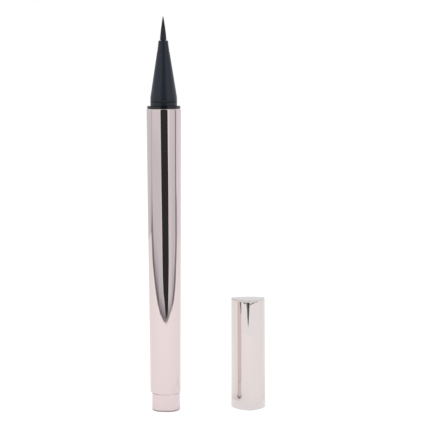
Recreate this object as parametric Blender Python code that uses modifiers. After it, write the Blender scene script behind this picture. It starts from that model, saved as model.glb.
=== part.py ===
"""Felt-tip eyeliner pen with its cap taken off and stood beside it.

The pen stands on its tail plug with its axis along +Z. The origin is the centre
of the plug's flat foot. The cap stands on its open rim, to the pen's +X side.
All lengths are in metres and all turns are in radians.
"""

import math

import bmesh
import bpy
from mathutils import Matrix, Vector

# Clearances that all pieces share
FIT_GAP = 0.00025
SEAL_GAP = 0.00015
OVERRUN = 0.001

# Mesh fineness
LOFT_POINTS = 48
TURN_STEPS = 32
SMALL_TURN_STEPS = 24
MERGE_DISTANCE = 0.000005
SHARP_ANGLE = math.radians(30)

# Tail plug
PLUG_HEAD_RADIUS = 0.00465
PLUG_HEAD_HEIGHT = 0.0057
PLUG_EDGE_ROUND = 0.0006
PLUG_SPIGOT_LENGTH = 0.0036
PLUG_WALL = 0.0009
PLUG_FLOOR = 0.0012
PLUG_ROUND_STEPS = 4

# Barrel, round at the front and a soft triangle at the tail
BARREL_LENGTH = 0.09455
BARREL_FRONT_WIDTH = 0.0114
BARREL_TAIL_WIDTH = 0.0102
BARREL_TAIL_CORNER_RADIUS = 0.0028
BARREL_BORE_RADIUS = 0.0040
BARREL_FRONT_CHAMFER = 0.0004
BARREL_TAIL_CHAMFER = 0.00015
BARREL_CORNER_TURN = math.radians(-82)

# Collar ring between the barrel and the neck
COLLAR_RADIUS = 0.0055
COLLAR_THICKNESS = 0.0008
COLLAR_EDGE_ROUND = 0.0001

# Neck and cone
NECK_RADIUS = 0.004375
NECK_HEIGHT = 0.0025
CONE_STEP = 0.00003
CONE_LENGTH = 0.0150
CONE_FRONT_RADIUS = 0.00193
CONE_WALL = 0.0006
CONE_SPIGOT_LENGTH = 0.0260

# Soft ring on the neck that grips the cap
GRIP_RING_SECTION_RADIUS = 0.0003
GRIP_RING_PROUD = 0.00007
GRIP_RING_HEIGHT = 0.0012

# Nib holder
HOLDER_LENGTH = 0.00355
HOLDER_REAR_RADIUS = 0.00185
HOLDER_FRONT_RADIUS = 0.0015
HOLDER_FRONT_ROUND = 0.0002
HOLDER_SPIGOT_RADIUS = 0.00145
HOLDER_SPIGOT_LENGTH = 0.0050

# Felt nib
NIB_LENGTH = 0.00775
NIB_BASE_RADIUS = 0.00109
NIB_SHANK_RADIUS = 0.00085
NIB_TAIL_LENGTH = 0.0020
NIB_TAPER_SHARES = ((0.0, 1.0), (0.06, 0.98), (0.33, 0.78), (0.67, 0.46), (0.95, 0.16))

# Ink tank and its stopper
TANK_WALL = 0.0006
STOPPER_FLANGE = 0.0010
STOPPER_SPIGOT_LENGTH = 0.0040
STOPPER_SEAL_SECTION_RADIUS = 0.0004

# Mixing ball
BALL_RADIUS = 0.0020

# Core guide, collector and relay core
GUIDE_FLANGE = 0.0008
GUIDE_PLUG_LENGTH = 0.0035
CORE_RADIUS = 0.0008
CORE_DIP = 0.0060
COLLECTOR_LENGTH = 0.0240
COLLECTOR_END_DISC = 0.0015
COLLECTOR_FINS = 14
COLLECTOR_ROOT_RADIUS = 0.0017
COLLECTOR_FIN_SHARE = 0.5

# Cap
CAP_OFFSET_X = 0.02775
CAP_OFFSET_Y = 0.0037
CAP_HEIGHT = 0.0369
CAP_RIM_WIDTH = 0.0116
CAP_TOP_WIDTH = 0.0113
CAP_CORNER_RADIUS = 0.0019
CAP_TOP_CHAMFER = 0.0004
CAP_RIM_CHAMFER = 0.00015
CAP_TOP_WALL = 0.0009
CAP_CORNER_TURN = math.radians(-87)

# Cap liner
LINER_START = 0.0076
LINER_WALL = 0.00055
LINER_TOP_WALL = 0.0005

# Sprung seal cup and its retainer
CUP_LENGTH = 0.0168
CUP_RADIUS = 0.00305
CUP_WALL = 0.0005
CUP_TOP_WALL = 0.0006
CUP_FLANGE = 0.0008
RETAINER_HEIGHT = 0.0012

# Seal spring and its seat
SPRING_SPACE = 0.0036
SPRING_COIL_RADIUS = 0.0022
SPRING_WIRE_RADIUS = 0.0002
SPRING_TURNS = 4
SPRING_POINTS_PER_TURN = 10
SEAT_THICKNESS = 0.0008
SEAT_BOSS_RADIUS = 0.0016
SEAT_BOSS_LENGTH = 0.0012

# Heights that follow from the sizes above, from the foot up
BARREL_TAIL_Z = PLUG_HEAD_HEIGHT + FIT_GAP
BARREL_FRONT_Z = BARREL_TAIL_Z + BARREL_LENGTH
COLLAR_Z = BARREL_FRONT_Z + FIT_GAP
NECK_Z = COLLAR_Z + COLLAR_THICKNESS + FIT_GAP
CONE_Z = NECK_Z + NECK_HEIGHT
CONE_FRONT_Z = CONE_Z + CONE_LENGTH
HOLDER_Z = CONE_FRONT_Z + SEAL_GAP
HOLDER_FRONT_Z = HOLDER_Z + HOLDER_LENGTH
NIB_Z = HOLDER_FRONT_Z + SEAL_GAP
CONE_SPIGOT_Z = NECK_Z - CONE_SPIGOT_LENGTH
GUIDE_TOP_Z = CONE_SPIGOT_Z - FIT_GAP
GUIDE_FLANGE_Z = GUIDE_TOP_Z - GUIDE_FLANGE
GUIDE_Z = GUIDE_FLANGE_Z - GUIDE_PLUG_LENGTH
COLLECTOR_Z = GUIDE_TOP_Z + FIT_GAP
STOPPER_Z = PLUG_HEAD_HEIGHT + PLUG_SPIGOT_LENGTH + FIT_GAP
STOPPER_SPIGOT_Z = STOPPER_Z + STOPPER_FLANGE
STOPPER_TOP_Z = STOPPER_SPIGOT_Z + STOPPER_SPIGOT_LENGTH
TANK_Z = STOPPER_SPIGOT_Z + FIT_GAP
TANK_TOP_Z = GUIDE_FLANGE_Z - FIT_GAP
NIB_TAIL_Z = HOLDER_Z - HOLDER_SPIGOT_LENGTH - NIB_TAIL_LENGTH

# Radii that follow from the sizes above, from the barrel's bore in
SPIGOT_RADIUS = BARREL_BORE_RADIUS - FIT_GAP
CONE_BORE_RADIUS = SPIGOT_RADIUS - CONE_WALL
CONE_REAR_RADIUS = NECK_RADIUS - CONE_STEP
CONE_FRONT_BORE_RADIUS = HOLDER_SPIGOT_RADIUS + SEAL_GAP
TANK_BORE_RADIUS = SPIGOT_RADIUS - TANK_WALL
CORE_HOLE_RADIUS = CORE_RADIUS + FIT_GAP
GRIP_GROOVE_RADIUS = NECK_RADIUS + GRIP_RING_PROUD - 2 * GRIP_RING_SECTION_RADIUS - SEAL_GAP
GRIP_GROOVE_HALF_WIDTH = GRIP_RING_SECTION_RADIUS + SEAL_GAP
STOPPER_SPIGOT_RADIUS = TANK_BORE_RADIUS - FIT_GAP
STOPPER_SEAL_RADIUS = TANK_BORE_RADIUS - SEAL_GAP - STOPPER_SEAL_SECTION_RADIUS
STOPPER_GROOVE_RADIUS = STOPPER_SEAL_RADIUS - STOPPER_SEAL_SECTION_RADIUS - SEAL_GAP
STOPPER_GROOVE_HALF_WIDTH = STOPPER_SEAL_SECTION_RADIUS + SEAL_GAP

# Sizes inside the cap, which fits over the neck with the same clearance
CAP_BORE_RADIUS = NECK_RADIUS + FIT_GAP
CAP_BORE_TOP_Z = CAP_HEIGHT - CAP_TOP_WALL
LINER_RADIUS = CAP_BORE_RADIUS - FIT_GAP
LINER_BORE_RADIUS = LINER_RADIUS - LINER_WALL
LINER_TOP_Z = CAP_BORE_TOP_Z - FIT_GAP
SEAT_TOP_Z = LINER_TOP_Z - LINER_TOP_WALL - FIT_GAP
SEAT_Z = SEAT_TOP_Z - SEAT_THICKNESS
CUP_TOP_Z = SEAT_Z - SPRING_SPACE
CUP_FLANGE_Z = CUP_TOP_Z - CUP_FLANGE
CUP_FLANGE_RADIUS = LINER_BORE_RADIUS - FIT_GAP
RETAINER_TOP_Z = CUP_FLANGE_Z - FIT_GAP


def make_material(name, colour, roughness, metallic=0.0):
    """Return a Principled material with the given linear colour."""
    material = bpy.data.materials.new(name)
    material.use_nodes = True
    shader = material.node_tree.nodes["Principled BSDF"]
    shader.inputs["Base Color"].default_value = (*colour, 1.0)
    shader.inputs["Roughness"].default_value = roughness
    shader.inputs["Metallic"].default_value = metallic
    return material


def make_collection(name):
    """Return a new collection linked to the scene."""
    collection = bpy.data.collections.new(name)
    bpy.context.scene.collection.children.link(collection)
    return collection


def make_empty(name, collection, location=(0.0, 0.0, 0.0)):
    """Return an empty that carries the pieces of one assembly."""
    empty = bpy.data.objects.new(name, None)
    empty.empty_display_size = PLUG_HEAD_RADIUS
    empty.location = location
    collection.objects.link(empty)
    return empty


def add_piece(name, data, material, parent, height=0.0):
    """Add one named piece at a height on its assembly's axis."""
    piece = bpy.data.objects.new(name, data)
    piece.location = (0.0, 0.0, height)
    piece.parent = parent
    data.materials.append(material)
    parent.users_collection[0].objects.link(piece)
    return piece


def shade_round(mesh):
    """Shade the mesh smooth and keep its true edges sharp."""
    mesh.shade_smooth()
    mesh.set_sharp_from_angle(angle=SHARP_ANGLE)


def mesh_from_bmesh(name, shape):
    """Turn a bmesh into a mesh datablock with its faces pointing out."""
    bmesh.ops.recalc_face_normals(shape, faces=shape.faces)
    mesh = bpy.data.meshes.new(name)
    shape.to_mesh(mesh)
    shape.free()
    shade_round(mesh)
    return mesh


def turned_piece(name, profile, material, parent, height=0.0, steps=TURN_STEPS):
    """Turn an outline of (radius, height) pairs about the assembly's axis.

    The outline runs down its outer side. It is closed into a loop unless it
    starts and ends on the axis.
    """
    edges = [(index, index + 1) for index in range(len(profile) - 1)]
    if profile[0][0] > 0.0:
        edges.append((len(profile) - 1, 0))
    outline = bpy.data.meshes.new(name + "_outline")
    outline.from_pydata([(radius, 0.0, z) for radius, z in profile], edges, [])
    piece = add_piece(name, outline, material, parent, height)
    screw = piece.modifiers.new("Turn", "SCREW")
    screw.steps = steps
    screw.render_steps = steps
    screw.use_merge_vertices = True
    screw.merge_threshold = MERGE_DISTANCE
    depsgraph = bpy.context.evaluated_depsgraph_get()
    turned = bpy.data.meshes.new_from_object(piece.evaluated_get(depsgraph), depsgraph=depsgraph)
    turned.name = name
    piece.modifiers.clear()
    piece.data = turned
    bpy.data.meshes.remove(outline)
    shade_round(turned)
    return piece


def soft_triangle(width, corner_radius, turn):
    """Return the outline of a constant-width triangle with round corners.

    The points are spaced evenly by the direction of their normals. The outline
    is a circle where the corner radius is half the width.
    """
    third = math.tau / 3
    offset = (width - 2 * corner_radius) / math.sqrt(3)
    outline = []
    for index in range(LOFT_POINTS):
        normal = math.tau * index / LOFT_POINTS
        corner = round(normal / third) * third
        lean = normal - corner
        if abs(lean) <= third / 4:
            centre, radius = corner, corner_radius
        else:
            centre, radius = corner - math.copysign(third, lean), width - corner_radius
        outline.append(Vector((
            offset * math.cos(centre + turn) + radius * math.cos(normal + turn),
            offset * math.sin(centre + turn) + radius * math.sin(normal + turn),
        )))
    return outline


def lofted_mesh(name, stations, turn):
    """Loft a closed solid through (height, width, corner radius) stations."""
    shape = bmesh.new()
    rings = []
    for height, width, corner_radius in stations:
        outline = soft_triangle(width, corner_radius, turn)
        rings.append([shape.verts.new((*point, height)) for point in outline])
    for lower, upper in zip(rings, rings[1:]):
        for index in range(LOFT_POINTS):
            after = (index + 1) % LOFT_POINTS
            shape.faces.new((lower[index], lower[after], upper[after], upper[index]))
    shape.faces.new(rings[0])
    shape.faces.new(rings[-1])
    return mesh_from_bmesh(name, shape)


def cut_bore(piece, radius, bottom, top, cutters):
    """Cut a round bore out of a piece between two heights on its axis."""
    shape = bmesh.new()
    middle = Matrix.Translation((0.0, 0.0, (bottom + top) / 2))
    bmesh.ops.create_cone(shape, cap_ends=True, segments=LOFT_POINTS, radius1=radius,
                          radius2=radius, depth=top - bottom, matrix=middle)
    cutter = bpy.data.objects.new(piece.name + "_bore", mesh_from_bmesh(piece.name + "_bore", shape))
    cutter.parent = piece.parent
    cutter.display_type = "WIRE"
    cutter.hide_render = True
    cutters.objects.link(cutter)
    boolean = piece.modifiers.new("Bore", "BOOLEAN")
    boolean.operation = "DIFFERENCE"
    boolean.solver = "EXACT"
    boolean.object = cutter


def ring_piece(name, radius, section_radius, material, parent, height, steps):
    """Turn a round section into a ring, as an O-ring is made."""
    sides = SMALL_TURN_STEPS // 2
    profile = []
    for index in range(sides):
        angle = -math.tau * index / sides
        profile.append((radius + section_radius * math.cos(angle), section_radius * math.sin(angle)))
    return turned_piece(name, profile, material, parent, height, steps)


def build_tail(pen, pink, clear, rubber):
    """Build the tail plug, the tank's stopper and the stopper's seal."""
    round_centre_radius = PLUG_HEAD_RADIUS - PLUG_EDGE_ROUND
    spigot_top = PLUG_HEAD_HEIGHT + PLUG_SPIGOT_LENGTH
    well_radius = SPIGOT_RADIUS - PLUG_WALL
    profile = [(0.0, PLUG_FLOOR), (well_radius, PLUG_FLOOR), (well_radius, spigot_top),
               (SPIGOT_RADIUS, spigot_top), (SPIGOT_RADIUS, PLUG_HEAD_HEIGHT),
               (PLUG_HEAD_RADIUS, PLUG_HEAD_HEIGHT)]
    for step in range(PLUG_ROUND_STEPS + 1):
        angle = math.pi / 2 * step / PLUG_ROUND_STEPS
        profile.append((round_centre_radius + PLUG_EDGE_ROUND * math.cos(angle),
                        PLUG_EDGE_ROUND * (1 - math.sin(angle))))
    profile.append((0.0, 0.0))
    turned_piece("tail_plug", profile, pink, pen)

    seal_z = (STOPPER_SPIGOT_Z + STOPPER_TOP_Z) / 2
    turned_piece("tank_stopper", [
        (0.0, STOPPER_TOP_Z), (STOPPER_SPIGOT_RADIUS, STOPPER_TOP_Z),
        (STOPPER_SPIGOT_RADIUS, seal_z + STOPPER_GROOVE_HALF_WIDTH),
        (STOPPER_GROOVE_RADIUS, seal_z + STOPPER_GROOVE_HALF_WIDTH),
        (STOPPER_GROOVE_RADIUS, seal_z - STOPPER_GROOVE_HALF_WIDTH),
        (STOPPER_SPIGOT_RADIUS, seal_z - STOPPER_GROOVE_HALF_WIDTH),
        (STOPPER_SPIGOT_RADIUS, STOPPER_SPIGOT_Z), (SPIGOT_RADIUS, STOPPER_SPIGOT_Z),
        (SPIGOT_RADIUS, STOPPER_Z), (0.0, STOPPER_Z),
    ], clear, pen)
    ring_piece("stopper_seal", STOPPER_SEAL_RADIUS, STOPPER_SEAL_SECTION_RADIUS,
               rubber, pen, seal_z, SMALL_TURN_STEPS)


def build_barrel(pen, cutters, pink):
    """Build the barrel shell, which changes from a circle to a soft triangle."""
    tail_round = BARREL_TAIL_CHAMFER
    front_round = BARREL_FRONT_CHAMFER
    front_corner_radius = BARREL_FRONT_WIDTH / 2
    stations = [
        (BARREL_TAIL_Z, BARREL_TAIL_WIDTH - 2 * tail_round, BARREL_TAIL_CORNER_RADIUS - tail_round),
        (BARREL_TAIL_Z + tail_round, BARREL_TAIL_WIDTH, BARREL_TAIL_CORNER_RADIUS),
        (BARREL_FRONT_Z - front_round, BARREL_FRONT_WIDTH, front_corner_radius),
        (BARREL_FRONT_Z, BARREL_FRONT_WIDTH - 2 * front_round, front_corner_radius - front_round),
    ]
    mesh = lofted_mesh("barrel_shell", stations, BARREL_CORNER_TURN)
    barrel = add_piece("barrel_shell", mesh, pink, pen)
    cut_bore(barrel, BARREL_BORE_RADIUS, BARREL_TAIL_Z - OVERRUN, BARREL_FRONT_Z + OVERRUN, cutters)


def build_ink_system(pen, clear, steel, fibre):
    """Build the tank, the mixing ball, the core guide, the collector and the core."""
    turned_piece("ink_tank", [
        (TANK_BORE_RADIUS, TANK_TOP_Z), (SPIGOT_RADIUS, TANK_TOP_Z),
        (SPIGOT_RADIUS, TANK_Z), (TANK_BORE_RADIUS, TANK_Z),
    ], clear, pen)

    ball = bmesh.new()
    bmesh.ops.create_uvsphere(ball, u_segments=SMALL_TURN_STEPS, v_segments=SMALL_TURN_STEPS // 2,
                              radius=BALL_RADIUS)
    ball_z = STOPPER_TOP_Z + FIT_GAP + BALL_RADIUS
    add_piece("mixing_ball", mesh_from_bmesh("mixing_ball", ball), steel, pen, ball_z)

    guide_radius = TANK_BORE_RADIUS - FIT_GAP
    turned_piece("core_guide", [
        (CORE_HOLE_RADIUS, GUIDE_TOP_Z), (SPIGOT_RADIUS, GUIDE_TOP_Z),
        (SPIGOT_RADIUS, GUIDE_FLANGE_Z), (guide_radius, GUIDE_FLANGE_Z),
        (guide_radius, GUIDE_Z), (CORE_HOLE_RADIUS, GUIDE_Z),
    ], clear, pen)

    turned_piece("collector", collector_profile(), clear, pen, steps=SMALL_TURN_STEPS)

    core_z = GUIDE_Z - CORE_DIP
    core_top = NIB_TAIL_Z - SEAL_GAP
    core = bmesh.new()
    middle = Matrix.Translation((0.0, 0.0, (core_z + core_top) / 2))
    bmesh.ops.create_cone(core, cap_ends=True, segments=SMALL_TURN_STEPS, radius1=CORE_RADIUS,
                          radius2=CORE_RADIUS, depth=core_top - core_z, matrix=middle)
    add_piece("relay_core", mesh_from_bmesh("relay_core", core), fibre, pen)


def collector_profile():
    """Return the collector's outline: end discs with evenly spaced fins between."""
    fin_radius = CONE_BORE_RADIUS - FIT_GAP
    top = COLLECTOR_Z + COLLECTOR_LENGTH
    fin_pitch = (COLLECTOR_LENGTH - 2 * COLLECTOR_END_DISC) / (COLLECTOR_FINS + 1)
    half_fin = fin_pitch * COLLECTOR_FIN_SHARE / 2
    profile = [(CORE_HOLE_RADIUS, top), (fin_radius, top), (fin_radius, top - COLLECTOR_END_DISC)]
    profile.append((COLLECTOR_ROOT_RADIUS, top - COLLECTOR_END_DISC))
    for fin in range(1, COLLECTOR_FINS + 1):
        middle = top - COLLECTOR_END_DISC - fin * fin_pitch
        profile.append((COLLECTOR_ROOT_RADIUS, middle + half_fin))
        profile.append((fin_radius, middle + half_fin))
        profile.append((fin_radius, middle - half_fin))
        profile.append((COLLECTOR_ROOT_RADIUS, middle - half_fin))
    profile.append((COLLECTOR_ROOT_RADIUS, COLLECTOR_Z + COLLECTOR_END_DISC))
    profile.append((fin_radius, COLLECTOR_Z + COLLECTOR_END_DISC))
    profile.append((fin_radius, COLLECTOR_Z))
    profile.append((CORE_HOLE_RADIUS, COLLECTOR_Z))
    return profile


def build_front(pen, black, slate, rubber, fibre):
    """Build the collar ring, the neck and cone, the grip ring, the holder and the nib."""
    edge = COLLAR_EDGE_ROUND
    collar_top = COLLAR_Z + COLLAR_THICKNESS
    collar_bore = SPIGOT_RADIUS + FIT_GAP
    turned_piece("collar_ring", [
        (collar_bore, collar_top), (COLLAR_RADIUS - edge, collar_top),
        (COLLAR_RADIUS, collar_top - edge), (COLLAR_RADIUS, COLLAR_Z + edge),
        (COLLAR_RADIUS - edge, COLLAR_Z), (collar_bore, COLLAR_Z),
    ], black, pen)

    grip_z = NECK_Z + GRIP_RING_HEIGHT
    slope = (CONE_REAR_RADIUS - CONE_FRONT_RADIUS) / CONE_LENGTH
    taper_top = CONE_Z + (CONE_BORE_RADIUS - CONE_FRONT_BORE_RADIUS) / slope
    turned_piece("front_cone", [
        (CONE_FRONT_BORE_RADIUS, CONE_FRONT_Z), (CONE_FRONT_RADIUS, CONE_FRONT_Z),
        (CONE_REAR_RADIUS, CONE_Z), (NECK_RADIUS, CONE_Z - CONE_STEP),
        (NECK_RADIUS, grip_z + GRIP_GROOVE_HALF_WIDTH),
        (GRIP_GROOVE_RADIUS, grip_z + GRIP_GROOVE_HALF_WIDTH),
        (GRIP_GROOVE_RADIUS, grip_z - GRIP_GROOVE_HALF_WIDTH),
        (NECK_RADIUS, grip_z - GRIP_GROOVE_HALF_WIDTH),
        (NECK_RADIUS, NECK_Z), (SPIGOT_RADIUS, NECK_Z),
        (SPIGOT_RADIUS, CONE_SPIGOT_Z), (CONE_BORE_RADIUS, CONE_SPIGOT_Z),
        (CONE_BORE_RADIUS, CONE_Z), (CONE_FRONT_BORE_RADIUS, taper_top),
    ], slate, pen)
    grip_radius = NECK_RADIUS + GRIP_RING_PROUD - GRIP_RING_SECTION_RADIUS
    ring_piece("cap_grip_ring", grip_radius, GRIP_RING_SECTION_RADIUS, rubber, pen, grip_z, TURN_STEPS)

    bore = NIB_SHANK_RADIUS + SEAL_GAP
    spigot_z = HOLDER_Z - HOLDER_SPIGOT_LENGTH
    turned_piece("nib_holder", [
        (bore, HOLDER_FRONT_Z), (HOLDER_FRONT_RADIUS - HOLDER_FRONT_ROUND, HOLDER_FRONT_Z),
        (HOLDER_FRONT_RADIUS, HOLDER_FRONT_Z - HOLDER_FRONT_ROUND),
        (HOLDER_REAR_RADIUS, HOLDER_Z), (HOLDER_SPIGOT_RADIUS, HOLDER_Z),
        (HOLDER_SPIGOT_RADIUS, spigot_z), (bore, spigot_z),
    ], slate, pen, steps=SMALL_TURN_STEPS)

    profile = [(0.0, NIB_Z + NIB_LENGTH)]
    for length_share, radius_share in reversed(NIB_TAPER_SHARES):
        profile.append((NIB_BASE_RADIUS * radius_share, NIB_Z + NIB_LENGTH * length_share))
    profile += [(NIB_SHANK_RADIUS, NIB_Z), (NIB_SHANK_RADIUS, NIB_TAIL_Z), (0.0, NIB_TAIL_Z)]
    turned_piece("felt_nib", profile, fibre, pen, steps=SMALL_TURN_STEPS)


def build_cap(cap, cutters, pink, clear):
    """Build the cap's outer shell and its liner."""
    top_round = CAP_TOP_CHAMFER
    rim_round = CAP_RIM_CHAMFER
    stations = [
        (0.0, CAP_RIM_WIDTH - 2 * rim_round, CAP_CORNER_RADIUS - rim_round),
        (rim_round, CAP_RIM_WIDTH, CAP_CORNER_RADIUS),
        (CAP_HEIGHT - top_round, CAP_TOP_WIDTH, CAP_CORNER_RADIUS),
        (CAP_HEIGHT, CAP_TOP_WIDTH - 2 * top_round, CAP_CORNER_RADIUS - top_round),
    ]
    shell = add_piece("cap_shell", lofted_mesh("cap_shell", stations, CAP_CORNER_TURN), pink, cap)
    cut_bore(shell, CAP_BORE_RADIUS, -OVERRUN, CAP_BORE_TOP_Z, cutters)

    turned_piece("cap_liner", [
        (0.0, LINER_TOP_Z), (LINER_RADIUS, LINER_TOP_Z), (LINER_RADIUS, LINER_START),
        (LINER_BORE_RADIUS, LINER_START), (LINER_BORE_RADIUS, LINER_TOP_Z - LINER_TOP_WALL),
        (0.0, LINER_TOP_Z - LINER_TOP_WALL),
    ], clear, cap)


def build_inner_seal(cap, clear, steel):
    """Build the sprung seal cup, its retainer, the spring and the spring's seat."""
    bore = CUP_RADIUS - CUP_WALL
    mouth = -CUP_LENGTH
    turned_piece("seal_cup", [
        (0.0, 0.0), (CUP_FLANGE_RADIUS, 0.0), (CUP_FLANGE_RADIUS, -CUP_FLANGE),
        (CUP_RADIUS, -CUP_FLANGE), (CUP_RADIUS, mouth), (bore, mouth),
        (bore, -CUP_TOP_WALL), (0.0, -CUP_TOP_WALL),
    ], clear, cap, CUP_TOP_Z)

    retainer_bore = CUP_RADIUS + SEAL_GAP
    retainer_radius = LINER_BORE_RADIUS - SEAL_GAP
    turned_piece("cup_retainer", [
        (retainer_bore, 0.0), (retainer_radius, 0.0),
        (retainer_radius, -RETAINER_HEIGHT), (retainer_bore, -RETAINER_HEIGHT),
    ], clear, cap, RETAINER_TOP_Z)

    turned_piece("spring_seat", [
        (0.0, SEAT_TOP_Z), (CUP_FLANGE_RADIUS, SEAT_TOP_Z), (CUP_FLANGE_RADIUS, SEAT_Z),
        (SEAT_BOSS_RADIUS, SEAT_Z), (SEAT_BOSS_RADIUS, SEAT_Z - SEAT_BOSS_LENGTH),
        (0.0, SEAT_Z - SEAT_BOSS_LENGTH),
    ], clear, cap, steps=SMALL_TURN_STEPS)

    end_space = SEAL_GAP + SPRING_WIRE_RADIUS
    bottom = CUP_TOP_Z + end_space
    rise = SPRING_SPACE - 2 * end_space
    count = SPRING_TURNS * SPRING_POINTS_PER_TURN
    wire = bpy.data.curves.new("seal_spring", "CURVE")
    wire.dimensions = "3D"
    wire.bevel_depth = SPRING_WIRE_RADIUS
    wire.bevel_resolution = 1
    wire.use_fill_caps = True
    spline = wire.splines.new("POLY")
    spline.points.add(count)
    for index, point in enumerate(spline.points):
        angle = math.tau * index / SPRING_POINTS_PER_TURN
        point.co = (SPRING_COIL_RADIUS * math.cos(angle), SPRING_COIL_RADIUS * math.sin(angle),
                    bottom + rise * index / count, 1.0)
    add_piece("seal_spring", wire, steel, cap)


def main():
    """Build the pen and the cap from an empty scene."""
    for existing in list(bpy.data.objects):
        bpy.data.objects.remove(existing, do_unlink=True)
    parts = make_collection("eyeliner_pen")
    cutters = make_collection("cutters")
    pen = make_empty("pen_axis", parts)
    cap = make_empty("cap_axis", parts, (CAP_OFFSET_X, CAP_OFFSET_Y, 0.0))

    pink = make_material("pink_metallic", (0.78, 0.68, 0.69), 0.12, 0.85)
    black = make_material("black_plastic", (0.02, 0.018, 0.02), 0.35)
    slate = make_material("slate_black_plastic", (0.03, 0.035, 0.042), 0.4)
    rubber = make_material("black_rubber", (0.02, 0.02, 0.022), 0.7)
    clear = make_material("natural_plastic", (0.75, 0.75, 0.73), 0.4)
    fibre = make_material("inked_fibre", (0.012, 0.012, 0.014), 0.8)
    steel = make_material("bright_steel", (0.6, 0.6, 0.6), 0.2, 1.0)

    build_tail(pen, pink, clear, rubber)
    build_barrel(pen, cutters, pink)
    build_ink_system(pen, clear, steel, fibre)
    build_front(pen, black, slate, rubber, fibre)
    build_cap(cap, cutters, pink, clear)
    build_inner_seal(cap, clear, steel)


if __name__ == "__main__":
    main()
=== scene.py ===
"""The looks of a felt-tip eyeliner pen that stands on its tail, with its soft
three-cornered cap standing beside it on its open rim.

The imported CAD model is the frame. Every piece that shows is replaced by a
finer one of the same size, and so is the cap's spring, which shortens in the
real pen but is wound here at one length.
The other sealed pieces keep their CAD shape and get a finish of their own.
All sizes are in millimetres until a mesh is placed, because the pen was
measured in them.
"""
import logging
import math
from dataclasses import dataclass, field
from enum import Enum
from typing import Callable, Iterable, Sequence

import bmesh
import bpy
from mathutils import Matrix, Vector


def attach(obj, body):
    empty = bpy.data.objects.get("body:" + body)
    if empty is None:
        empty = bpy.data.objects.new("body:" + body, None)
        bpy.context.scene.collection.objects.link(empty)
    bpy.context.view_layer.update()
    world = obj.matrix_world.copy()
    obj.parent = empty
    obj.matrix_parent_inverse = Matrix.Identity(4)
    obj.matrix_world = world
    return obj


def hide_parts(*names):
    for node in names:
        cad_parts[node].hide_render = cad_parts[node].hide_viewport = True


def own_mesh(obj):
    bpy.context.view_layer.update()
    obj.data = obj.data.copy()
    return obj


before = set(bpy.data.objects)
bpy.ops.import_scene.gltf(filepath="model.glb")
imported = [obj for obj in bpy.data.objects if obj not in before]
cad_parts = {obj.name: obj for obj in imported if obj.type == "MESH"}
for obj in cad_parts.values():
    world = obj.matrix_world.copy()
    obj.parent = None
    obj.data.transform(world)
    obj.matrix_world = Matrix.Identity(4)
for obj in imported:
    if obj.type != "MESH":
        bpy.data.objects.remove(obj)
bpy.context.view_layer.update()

Rows = tuple[tuple[float, ...], ...]
LOG = logging.getLogger("eyeliner_pen")
MM = 0.001
WHITE = (1.0, 1.0, 1.0, 1.0)
TURNED_STEPS = 96
OUTLINE_POINTS = 216
# How far beside a rounding a line or wall gets a point of its own, so that it keeps its
# own shading right up to the rounding.
HOLD = 0.02


# ---------------------------------------------------------------- colour

def linear(sheet: str) -> tuple[float, float, float, float]:
    """Turns an sRGB hex colour into a linear one.

    Args:
        sheet: Six hex digits, with or without a leading hash.

    Returns:
        The linear red, green and blue, and an alpha of one.
    """
    digits = sheet.lstrip("#")
    parts = []
    for i in (0, 2, 4):
        c = int(digits[i:i + 2], 16) / 255.0
        parts.append(c / 12.92 if c <= 0.04045 else ((c + 0.055) / 1.055) ** 2.4)
    return parts[0], parts[1], parts[2], 1.0


def add_node(tree: bpy.types.NodeTree, kind: str, settings: dict | None = None,
             links: dict | None = None) -> bpy.types.Node:
    """Adds one shader node with its settings and the links into it.

    Args:
        tree: The material's node tree.
        kind: The node's type name without its Shader prefix.
        settings: Values by the node's property name, or by input name or number.
        links: Output sockets by the name or number of the input they go to.

    Returns:
        The new node.
    """
    node = tree.nodes.new("ShaderNode" + kind)
    for key, value in (settings or {}).items():
        if isinstance(key, str) and hasattr(node, key) and key not in node.inputs:
            setattr(node, key, value)
        else:
            node.inputs[key].default_value = value
    for key, socket in (links or {}).items():
        tree.links.new(socket, node.inputs[key])
    return node


# --------------------------------------------------------------- finishes

class Slot(Enum):
    """The record's material slots."""

    PINK = "metallised_pink"
    BLACK = "black_plastic"
    SLATE = "slate_black_plastic"
    RUBBER = "black_rubber"
    FIBRE = "inked_fibre"
    NATURAL = "natural_plastic"
    STEEL = "steel"


@dataclass(frozen=True)
class Finish:
    """A real material and the process that made its surface."""

    name: str
    slot: Slot

    def material(self) -> bpy.types.Material:
        """Looks up the finish's Blender material, or makes it on first use.

        Returns:
            The material.
        """
        made = bpy.data.materials.get(self.name)
        if made is None:
            made = bpy.data.materials.new(self.name)
            made.use_nodes = True
            made.node_tree.nodes.clear()
            shader = self.shade(made.node_tree)
            add_node(made.node_tree, "OutputMaterial", links={"Surface": shader.outputs[0]})
        return made

    def shade(self, tree: bpy.types.NodeTree) -> bpy.types.Node:
        """Builds the surface shader.

        Args:
            tree: The material's empty node tree.

        Returns:
            The shader node that goes to the output.
        """
        raise NotImplementedError


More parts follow.
